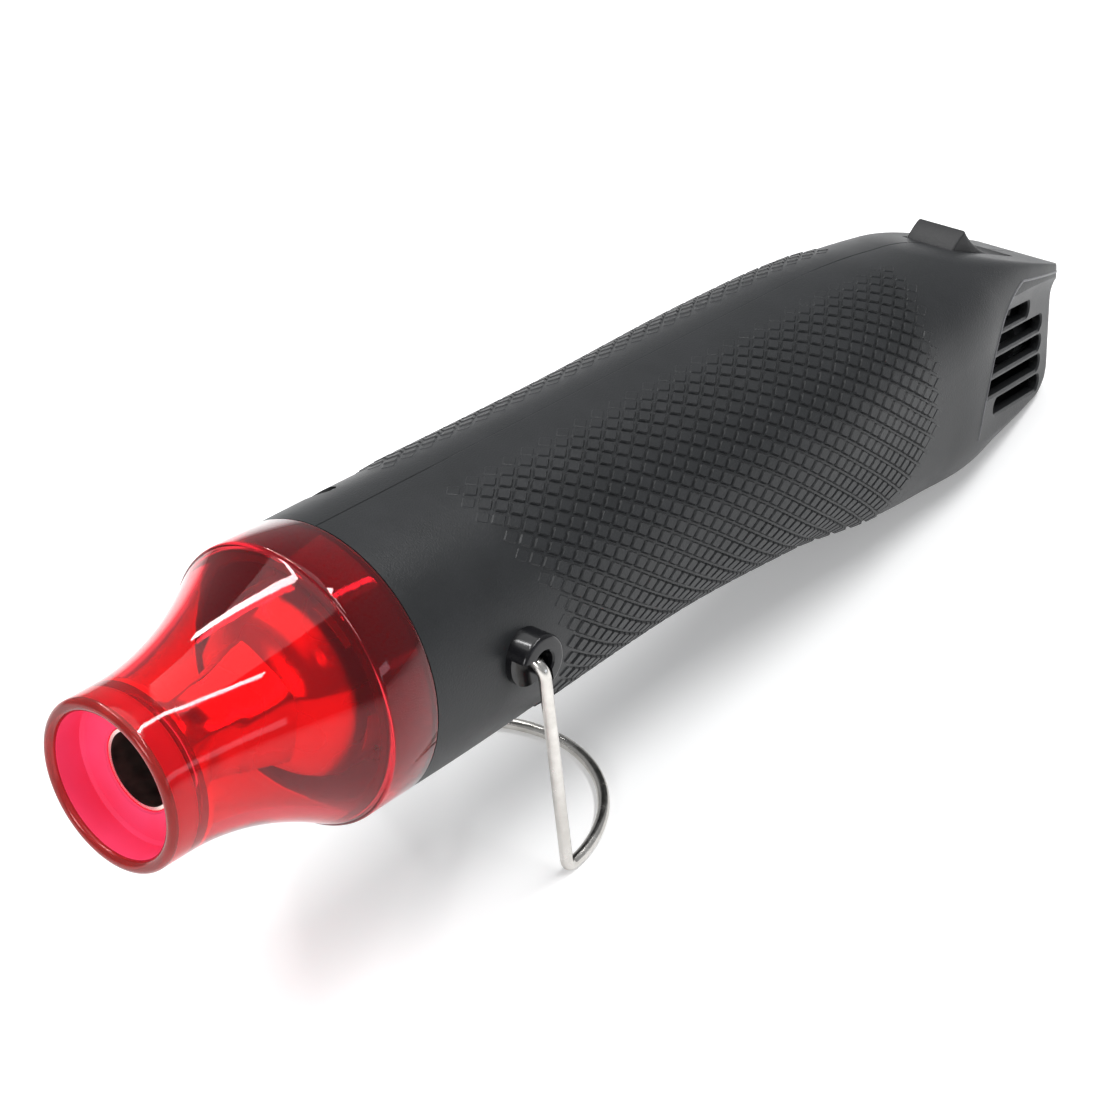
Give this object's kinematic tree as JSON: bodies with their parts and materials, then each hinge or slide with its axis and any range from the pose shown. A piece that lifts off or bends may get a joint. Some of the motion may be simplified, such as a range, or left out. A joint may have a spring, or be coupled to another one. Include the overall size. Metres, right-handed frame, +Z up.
{
  "type": "embossing heat tool",
  "caption": "Hand-held embossing heat tool: tapered barrel body, flared nozzle guard, rocker switch, side air slots and a folding wire stand.",
  "frame": {"origin": "middle of the bounding box on the surface that the tool rests on, standing on its wire stand and the lower edge of its tail", "axes": "+X from the nozzle to the tail along the surface, +Z up, +Y across the body to the side with the screw heads"},
  "size_m": [0.2256, 0.0516, 0.0658],
  "materials": {
    "body_black": "satin",
    "guard_red": "gloss",
    "nozzle_steel": "heat tinted",
    "plate_steel": "satin",
    "mica": "matte",
    "heating_wire": "matte",
    "ceramic": "matte",
    "lead_sleeve": "matte",
    "fan_plastic": "matte",
    "motor_steel": "satin",
    "magnet": "matte",
    "rotor": "satin",
    "bronze": "satin",
    "cap_nylon": "matte",
    "terminal_brass": "satin",
    "board_green": "satin",
    "diode_black": "matte",
    "capacitor_film": "gloss",
    "rocker_black": "satin",
    "switch_black": "matte",
    "stand_wire": "bright",
    "screw_steel": "satin"
  },
  "bodies": {
    "housing": {"shell_left": "body_black", "shell_right": "body_black", "nozzle_guard": "guard_red", "nozzle_tube": "nozzle_steel", "nozzle_flange": "plate_steel", "mica_sleeve": "mica", "mica_board_upright": "mica", "mica_board_flat": "mica", "heater_coil": "heating_wire", "heater_end_disc": "ceramic", "thermal_cutout": "plate_steel", "thermal_fuse": "ceramic", "heater_leads": "lead_sleeve", "fan_shroud": "fan_plastic", "motor_can": "motor_steel", "motor_magnets": "magnet", "motor_bush_front": "bronze", "motor_bush_rear": "bronze", "motor_end_cap": "cap_nylon", "motor_brushes": "bronze", "motor_tabs": "terminal_brass", "motor_screws": "screw_steel", "rectifier_board": "board_green", "rectifier_diodes": "diode_black", "noise_capacitor": "capacitor_film", "switch_body": "switch_black", "switch_contacts": "terminal_brass", "cord_clamp": "switch_black", "clamp_screws": "screw_steel", "housing_screws": "screw_steel"},
    "stand": {"wire_stand": "stand_wire"},
    "rocker": {"switch_rocker": "rocker_black"},
    "rotor": {"fan_impeller": "fan_plastic", "motor_shaft": "screw_steel", "motor_rotor": "rotor"}
  },
  "joints": [
    {"name": "stand_hinge", "type": "hinge", "parent": "housing", "child": "stand", "pos_m": [-0.05049, 0, 0.04084], "axis": [0, 1, 0], "range_deg": [0, 100]},
    {"name": "switch_rock", "type": "hinge", "parent": "housing", "child": "rocker", "pos_m": [0.09092, 0, 0.03159], "axis": [0, -1, 0], "range_deg": [0, 23]},
    {"name": "fan_spin", "type": "hinge", "parent": "housing", "child": "rotor", "pos_m": [-0.00214, 0, 0.03595], "axis": [0.9949, 0, -0.1008], "continuous": true}
  ]
}
